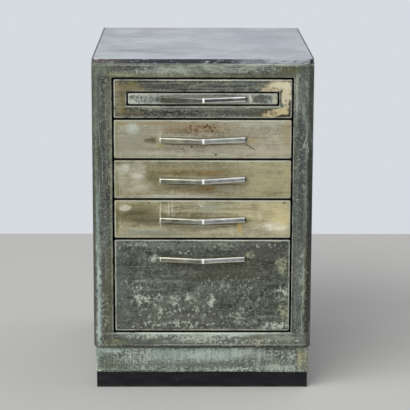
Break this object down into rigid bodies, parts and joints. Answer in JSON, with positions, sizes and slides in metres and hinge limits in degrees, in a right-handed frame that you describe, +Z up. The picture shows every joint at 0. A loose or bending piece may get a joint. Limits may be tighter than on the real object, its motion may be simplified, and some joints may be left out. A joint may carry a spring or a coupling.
{
  "type": "drawer cabinet",
  "caption": "Worn steel pedestal drawer cabinet with a bare metal worktop, a pull-out tray, shallow drawers over a deep drawer, bent bar handles and a recessed plinth.",
  "frame": {"origin": "on the floor under the middle of the casing, on the underside of the middle bearer", "axes": "+X to the right across the front, +Y towards the back, +Z up; the drawers open along -Y"},
  "size_m": [0.508, 0.635, 0.78],
  "materials": {
    "worktop_steel": "bare worn steel sheet with faint brushing and smudges",
    "core_board": "plain board, out of sight",
    "casing_paint": "worn dark grey-green paint with pale mint patches",
    "inner_paint": "older grey-green paint, little worn",
    "plinth_paint": "worn mint-grey paint with upright streaks",
    "kick_paint": "black paint, satin",
    "fascia_paint": "worn grey-green and olive paint with a cream chip",
    "tray_paint": "pale worn paint, mottled at the ends",
    "tan_front_paint": "khaki and cream paint, brushed through, with rust stains",
    "deep_front_paint": "dark grey-green paint with pale specks",
    "box_paint": "plain grey-green paint",
    "runner_steel": "dull plated steel",
    "roller_steel": "turned steel",
    "handle_metal": "satin plated, bright on the top bevel",
    "fastener_steel": "plated screws",
    "buffer_rubber": "black rubber"
  },
  "bodies": {
    "cabinet": {"worktop": "worktop_steel", "worktop_core": "core_board", "worktop_screws": "fastener_steel", "top_pan": "inner_paint", "side_panel_left": "casing_paint", "side_panel_right": "casing_paint", "back_panel": "inner_paint", "top_rail": "casing_paint", "bottom_rail": "casing_paint", "bottom_pan": "inner_paint", "plinth_front": "plinth_paint", "plinth_sides": "plinth_paint", "plinth_back": "plinth_paint", "base_rails": "kick_paint", "base_bearers": "kick_paint", "base_screws": "fastener_steel", "uprights_left": "inner_paint", "uprights_right": "inner_paint", "rear_buffers": "buffer_rubber", "fascia": "fascia_paint", "fascia_brackets": "inner_paint", "tray_guides": "runner_steel", "tray_stop_bar": "runner_steel", "upper_runners": "runner_steel", "middle_runners": "runner_steel", "lower_runners": "runner_steel", "deep_runners": "runner_steel"},
    "tray": {"tray_front": "tray_paint", "tray_pan": "box_paint", "tray_handle": "handle_metal", "tray_handle_screws": "fastener_steel"},
    "upper_drawer": {"upper_drawer_front": "tan_front_paint", "upper_drawer_box": "box_paint", "upper_drawer_rails": "runner_steel", "upper_handle": "handle_metal", "upper_handle_screws": "fastener_steel"},
    "upper_drawer_rollers": {"upper_drawer_rollers": "roller_steel"},
    "upper_runner_rollers": {"upper_runner_rollers": "roller_steel"},
    "middle_drawer": {"middle_drawer_front": "tan_front_paint", "middle_drawer_box": "box_paint", "middle_drawer_rails": "runner_steel", "middle_handle": "handle_metal", "middle_handle_screws": "fastener_steel"},
    "middle_drawer_rollers": {"middle_drawer_rollers": "roller_steel"},
    "middle_runner_rollers": {"middle_runner_rollers": "roller_steel"},
    "lower_drawer": {"lower_drawer_front": "tan_front_paint", "lower_drawer_box": "box_paint", "lower_drawer_rails": "runner_steel", "lower_handle": "handle_metal", "lower_handle_screws": "fastener_steel"},
    "lower_drawer_rollers": {"lower_drawer_rollers": "roller_steel"},
    "lower_runner_rollers": {"lower_runner_rollers": "roller_steel"},
    "deep_drawer": {"deep_drawer_front": "deep_front_paint", "deep_drawer_box": "box_paint", "deep_drawer_rails": "runner_steel", "deep_handle": "handle_metal", "deep_handle_screws": "fastener_steel"},
    "deep_drawer_rollers": {"deep_drawer_rollers": "roller_steel"},
    "deep_runner_rollers": {"deep_runner_rollers": "roller_steel"}
  },
  "joints": [
    {"name": "tray_slide", "type": "slide", "parent": "cabinet", "child": "tray", "axis": [0, -1, 0], "range_m": [0, 0.33]},
    {"name": "upper_drawer_slide", "type": "slide", "parent": "cabinet", "child": "upper_drawer", "axis": [0, -1, 0], "range_m": [0, 0.43]},
    {"name": "upper_drawer_rollers_turn", "type": "hinge", "parent": "upper_drawer", "child": "upper_drawer_rollers", "pos_m": [0, 0.178, 0.5942], "axis": [1, 0, 0], "continuous": true},
    {"name": "upper_runner_rollers_turn", "type": "hinge", "parent": "cabinet", "child": "upper_runner_rollers", "pos_m": [0, -0.271, 0.5942], "axis": [1, 0, 0], "continuous": true},
    {"name": "middle_drawer_slide", "type": "slide", "parent": "cabinet", "child": "middle_drawer", "axis": [0, -1, 0], "range_m": [0, 0.43]},
    {"name": "middle_drawer_rollers_turn", "type": "hinge", "parent": "middle_drawer", "child": "middle_drawer_rollers", "pos_m": [0, 0.178, 0.5007], "axis": [1, 0, 0], "continuous": true},
    {"name": "middle_runner_rollers_turn", "type": "hinge", "parent": "cabinet", "child": "middle_runner_rollers", "pos_m": [0, -0.271, 0.5007], "axis": [1, 0, 0], "continuous": true},
    {"name": "lower_drawer_slide", "type": "slide", "parent": "cabinet", "child": "lower_drawer", "axis": [0, -1, 0], "range_m": [0, 0.43]},
    {"name": "lower_drawer_rollers_turn", "type": "hinge", "parent": "lower_drawer", "child": "lower_drawer_rollers", "pos_m": [0, 0.178, 0.4072], "axis": [1, 0, 0], "continuous": true},
    {"name": "lower_runner_rollers_turn", "type": "hinge", "parent": "cabinet", "child": "lower_runner_rollers", "pos_m": [0, -0.271, 0.4072], "axis": [1, 0, 0], "continuous": true},
    {"name": "deep_drawer_slide", "type": "slide", "parent": "cabinet", "child": "deep_drawer", "axis": [0, -1, 0], "range_m": [0, 0.43]},
    {"name": "deep_drawer_rollers_turn", "type": "hinge", "parent": "deep_drawer", "child": "deep_drawer_rollers", "pos_m": [0, 0.178, 0.2602], "axis": [1, 0, 0], "continuous": true},
    {"name": "deep_runner_rollers_turn", "type": "hinge", "parent": "cabinet", "child": "deep_runner_rollers", "pos_m": [0, -0.271, 0.2602], "axis": [1, 0, 0], "continuous": true}
  ],
  "couplings": [
    {"joint": "upper_drawer_rollers_turn", "follows": "upper_drawer_slide", "rad_per_m": 111.11},
    {"joint": "upper_runner_rollers_turn", "follows": "upper_drawer_slide", "rad_per_m": 111.11},
    {"joint": "middle_drawer_rollers_turn", "follows": "middle_drawer_slide", "rad_per_m": 111.11},
    {"joint": "middle_runner_rollers_turn", "follows": "middle_drawer_slide", "rad_per_m": 111.11},
    {"joint": "lower_drawer_rollers_turn", "follows": "lower_drawer_slide", "rad_per_m": 111.11},
    {"joint": "lower_runner_rollers_turn", "follows": "lower_drawer_slide", "rad_per_m": 111.11},
    {"joint": "deep_drawer_rollers_turn", "follows": "deep_drawer_slide", "rad_per_m": 111.11},
    {"joint": "deep_runner_rollers_turn", "follows": "deep_drawer_slide", "rad_per_m": 111.11}
  ]
}
